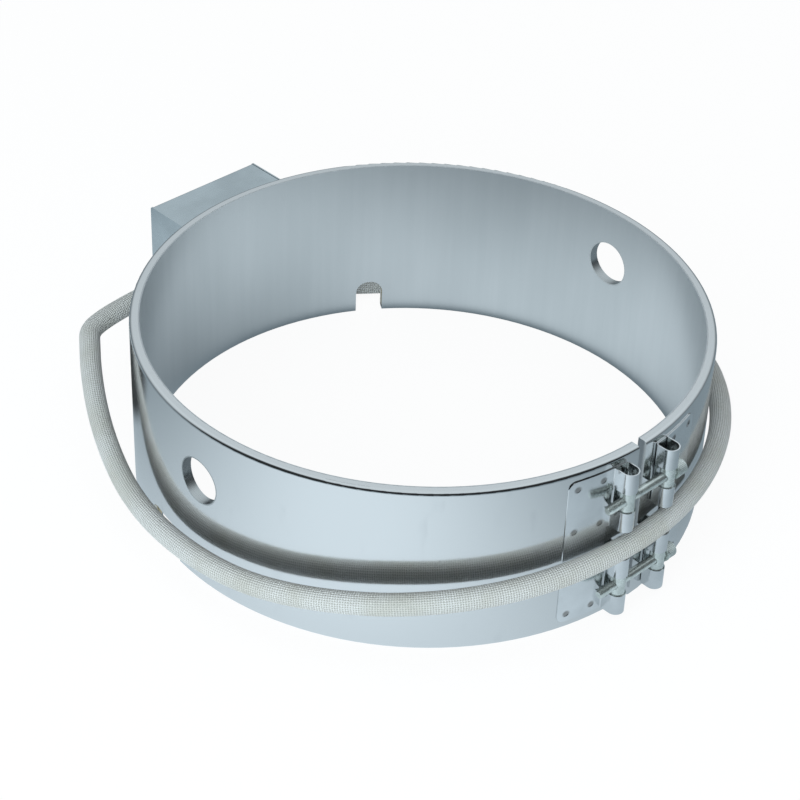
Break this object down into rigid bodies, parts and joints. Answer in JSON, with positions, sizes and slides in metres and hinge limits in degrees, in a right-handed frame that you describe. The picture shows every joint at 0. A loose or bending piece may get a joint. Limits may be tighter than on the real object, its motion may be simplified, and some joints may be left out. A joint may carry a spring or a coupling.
{
  "type": "band heater",
  "caption": "Split metal-sheathed band heater with a clamp-screw closure, a terminal box, sensor holes, edge notches and a braided lead.",
  "frame": {"origin": "on the axis of the bore, in the plane of the band's lower edge", "axes": "+Z along the bore's axis, -Y towards the split and its clamp screws, +Y towards the terminal box"},
  "size_m": [0.3443, 0.3709, 0.1],
  "materials": {
    "polished_sheath": "mirror-bright stainless sheet",
    "satin_steel": "satin stainless sheet with faint streaks",
    "box_steel": "folded stainless sheet",
    "strap_steel": "bright stainless sheet",
    "mica": "pressed mica board",
    "blanket": "ceramic fibre paper",
    "ribbon_alloy": "resistance ribbon",
    "zinc": "bright zinc plate",
    "ceramic": "steatite",
    "stud_steel": "plated steel",
    "tinned_copper": "tinned copper",
    "wire_braid": "glass-braided wire",
    "sleeve_braid": "woven glass sleeve"
  },
  "bodies": {
    "heater": {"cover_screws": "zinc", "earth_nut": "stud_steel", "earth_stud": "stud_steel", "earth_washer": "stud_steel", "earth_wire": "wire_braid", "heating_ribbon": "ribbon_alloy", "inner_mica": "mica", "inner_sheath": "satin_steel", "insulation_blanket": "blanket", "lead_gland": "zinc", "lead_sleeve": "sleeve_braid", "lead_tails": "wire_braid", "left_clamp_strap": "strap_steel", "left_hole_liner": "satin_steel", "live_wire": "wire_braid", "lower_plain_barrel": "zinc", "lower_threaded_barrel": "zinc", "mica_core": "mica", "neutral_wire": "wire_braid", "outer_mica": "mica", "outer_sheath": "polished_sheath", "right_clamp_strap": "strap_steel", "right_hole_liner": "satin_steel", "ring_terminals": "tinned_copper", "terminal_box_base": "box_steel", "terminal_box_cover": "box_steel", "terminal_insulators": "ceramic", "terminal_nuts": "stud_steel", "terminal_studs": "stud_steel", "terminal_washers": "stud_steel", "upper_plain_barrel": "zinc", "upper_threaded_barrel": "zinc"},
    "upper_washer": {"upper_screw_washer": "zinc"},
    "upper_screw": {"upper_clamp_screw": "zinc"},
    "lower_washer": {"lower_screw_washer": "zinc"},
    "lower_screw": {"lower_clamp_screw": "zinc"}
  },
  "joints": [
    {"name": "upper_screw_travel", "type": "slide", "parent": "heater", "child": "upper_washer", "axis": [1, 0, 0], "range_m": [0, 0.012]},
    {"name": "upper_screw_turn", "type": "hinge", "parent": "upper_washer", "child": "upper_screw", "pos_m": [0.02, -0.1611, 0.077], "axis": [1, 0, 0], "range_deg": [0, 5400]},
    {"name": "lower_screw_travel", "type": "slide", "parent": "heater", "child": "lower_washer", "axis": [1, 0, 0], "range_m": [0, 0.012]},
    {"name": "lower_screw_turn", "type": "hinge", "parent": "lower_washer", "child": "lower_screw", "pos_m": [0.02, -0.1611, 0.023], "axis": [1, 0, 0], "range_deg": [0, 5400]}
  ],
  "couplings": [
    {"joint": "upper_screw_turn", "follows": "upper_screw_travel", "rad_per_m": 7854},
    {"joint": "lower_screw_turn", "follows": "lower_screw_travel", "rad_per_m": 7854}
  ]
}
